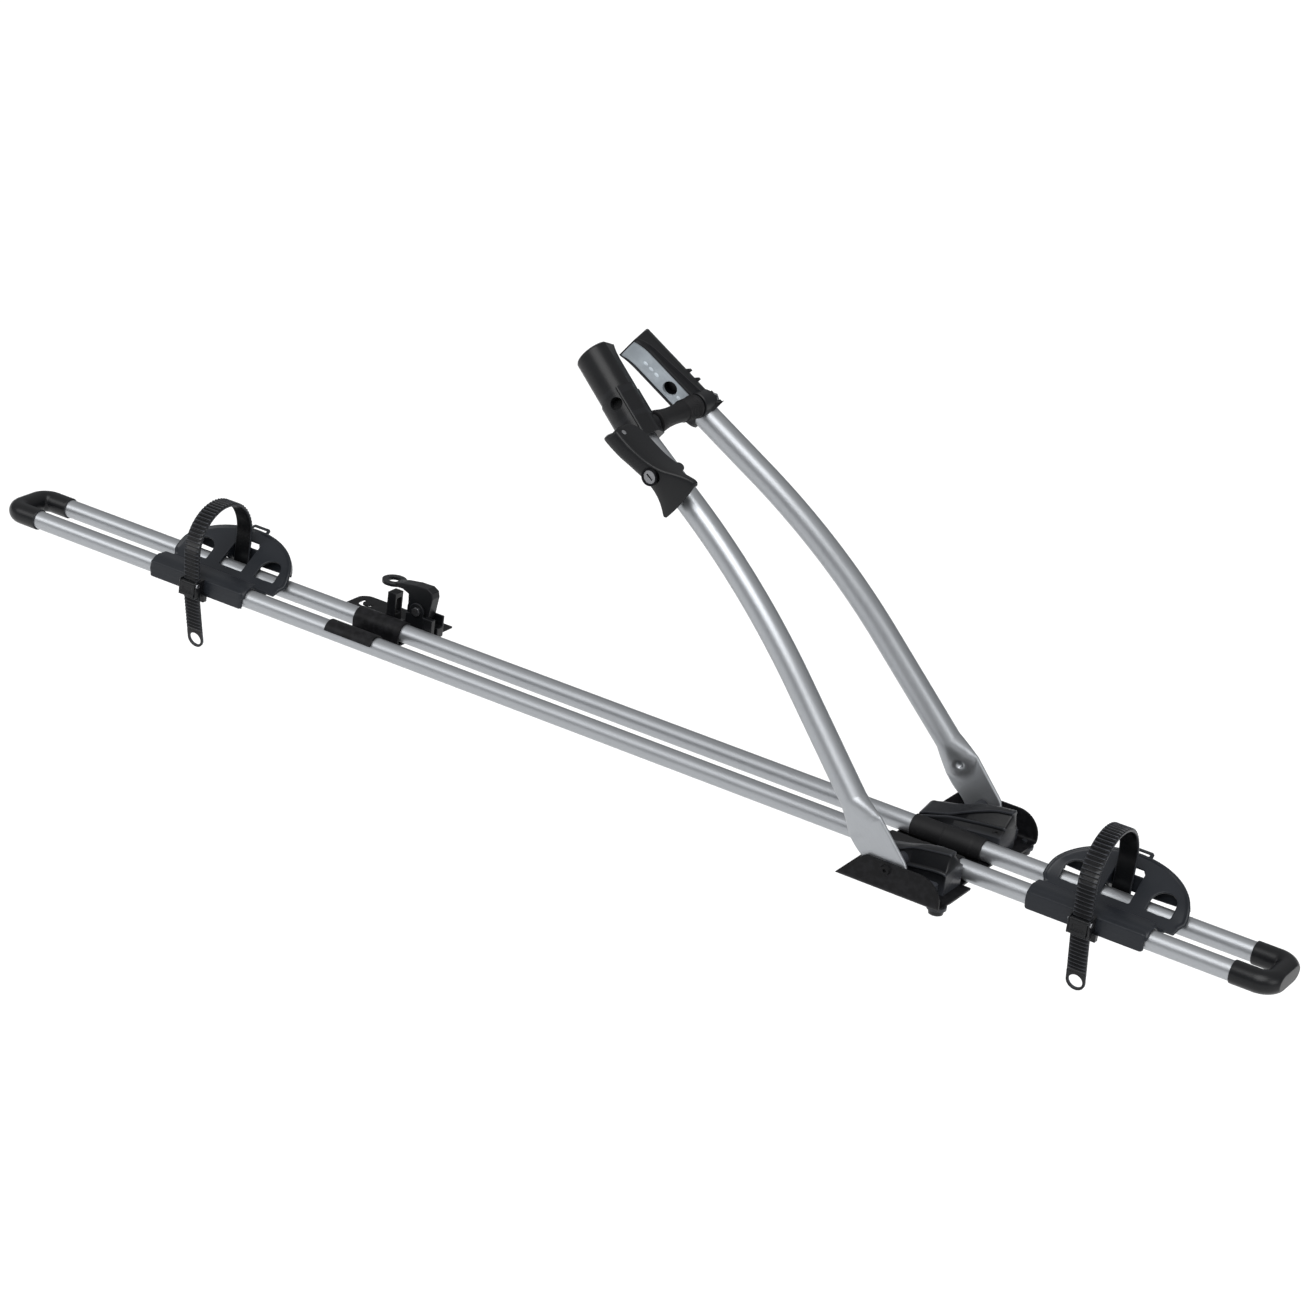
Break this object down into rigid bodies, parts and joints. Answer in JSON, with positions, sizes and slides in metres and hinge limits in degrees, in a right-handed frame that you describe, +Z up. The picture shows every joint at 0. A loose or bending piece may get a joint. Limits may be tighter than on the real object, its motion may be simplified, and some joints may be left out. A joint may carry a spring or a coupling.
{
  "type": "roof mounted bike carrier",
  "caption": "Roof mounted bike carrier: twin rails, folding tube arms whose padded claws a locking lever closes on the frame, and sliding wheel trays with ladder straps.",
  "frame": {"origin": "on the front roof bar seat (underside of the front bracket), straight below the arm pivots and midway between the rails", "axes": "+X to the front along the rails, +Y to the left, +Z up"},
  "size_m": [1.49, 0.2109, 0.4627],
  "materials": {
    "tube": "satin",
    "arm_tube": "satin",
    "black_steel": "satin",
    "black_plastic": "matte",
    "claw_plastic": "satin",
    "slate_plastic": "satin",
    "black_rubber": "matte",
    "grey_rubber": "matte",
    "strap": "satin",
    "bright_steel": "brushed"
  },
  "bodies": {
    "base": {"rail_right": "tube", "rail_left": "tube", "end_cap_front": "black_plastic", "end_cap_rear": "black_plastic", "front_bracket": "black_steel", "rail_sleeve_right": "black_rubber", "rail_sleeve_left": "black_rubber", "clamp_block_right": "black_plastic", "clamp_block_left": "black_plastic", "block_screw_right": "black_steel", "block_screw_left": "black_steel", "pivot_bolt_right": "black_steel", "pivot_bolt_left": "black_steel", "pivot_washer_right": "black_plastic", "pivot_washer_left": "black_plastic", "bar_nut_right": "black_plastic", "bar_nut_left": "black_plastic"},
    "left_arm": {"arm_left": "arm_tube", "claw_left": "claw_plastic", "claw_pad_left": "grey_rubber", "draw_rod": "bright_steel", "rod_sleeve": "black_rubber", "lever_pin": "bright_steel"},
    "right_arm": {"arm_right": "arm_tube", "claw_right": "claw_plastic", "claw_pad_right": "grey_rubber"},
    "clamp_lever": {"clamp_lever": "claw_plastic", "lock_housing": "bright_steel"},
    "lock": {"lock_cylinder": "bright_steel"},
    "front_tray": {"wheel_tray_front": "slate_plastic", "wheel_strap_front": "strap", "strap_buckle_front": "black_plastic", "buckle_pin_front": "bright_steel"},
    "front_buckle": {"buckle_lever_front": "black_plastic"},
    "rear_tray": {"wheel_tray_rear": "slate_plastic", "wheel_strap_rear": "strap", "strap_buckle_rear": "black_plastic", "buckle_pin_rear": "bright_steel"},
    "rear_buckle": {"buckle_lever_rear": "black_plastic"},
    "rear_foot": {"rear_plate": "black_steel", "rear_saddle": "black_steel", "rear_yoke": "black_plastic", "rear_pin": "bright_steel", "rear_hook": "black_plastic"},
    "rear_lever": {"rear_lever": "black_plastic"}
  },
  "joints": [
    {"name": "arm_fold", "type": "hinge", "parent": "base", "child": "left_arm", "pos_m": [0, 0.095, 0.0228], "axis": [0, 1, 0], "range_deg": [-38, 25]},
    {"name": "jaw_close", "type": "hinge", "parent": "left_arm", "child": "right_arm", "pos_m": [0, -0.095, 0.0228], "axis": [-0.676, 0, -0.7369], "range_deg": [0, 1.2], "stiffness_Nm_per_rad": 150, "deforming": ["rod_sleeve"]},
    {"name": "lever_open", "type": "hinge", "parent": "left_arm", "child": "clamp_lever", "pos_m": [-0.33999, -0.09545, 0.34303], "axis": [-0.5461, 0, -0.8377], "range_deg": [0, 95]},
    {"name": "lock_turn", "type": "hinge", "parent": "clamp_lever", "child": "lock", "pos_m": [-0.29995, -0.09895, 0.31692], "axis": [0, -1, 0], "range_deg": [0, 90]},
    {"name": "front_tray_slide", "type": "slide", "parent": "base", "child": "front_tray", "axis": [1, 0, 0], "range_m": [-0.03, 0.055]},
    {"name": "front_buckle_press", "type": "hinge", "parent": "front_tray", "child": "front_buckle", "pos_m": [0.1749, -0.04908, 0.017], "axis": [-1, 0, 0], "range_deg": [0, 55], "stiffness_Nm_per_rad": 0.03},
    {"name": "rear_tray_slide", "type": "slide", "parent": "base", "child": "rear_tray", "axis": [1, 0, 0], "range_m": [-0.13, 0.025]},
    {"name": "rear_buckle_press", "type": "hinge", "parent": "rear_tray", "child": "rear_buckle", "pos_m": [-0.8596, -0.04908, 0.017], "axis": [-1, 0, 0], "range_deg": [0, 55], "stiffness_Nm_per_rad": 0.03},
    {"name": "rear_foot_slide", "type": "slide", "parent": "base", "child": "rear_foot", "axis": [1, 0, 0], "range_m": [-0.03, 0.03]},
    {"name": "rear_lever_open", "type": "hinge", "parent": "rear_foot", "child": "rear_lever", "pos_m": [-0.642, 0.06, 0.027], "axis": [0, 1, 0], "range_deg": [0, 70]}
  ]
}
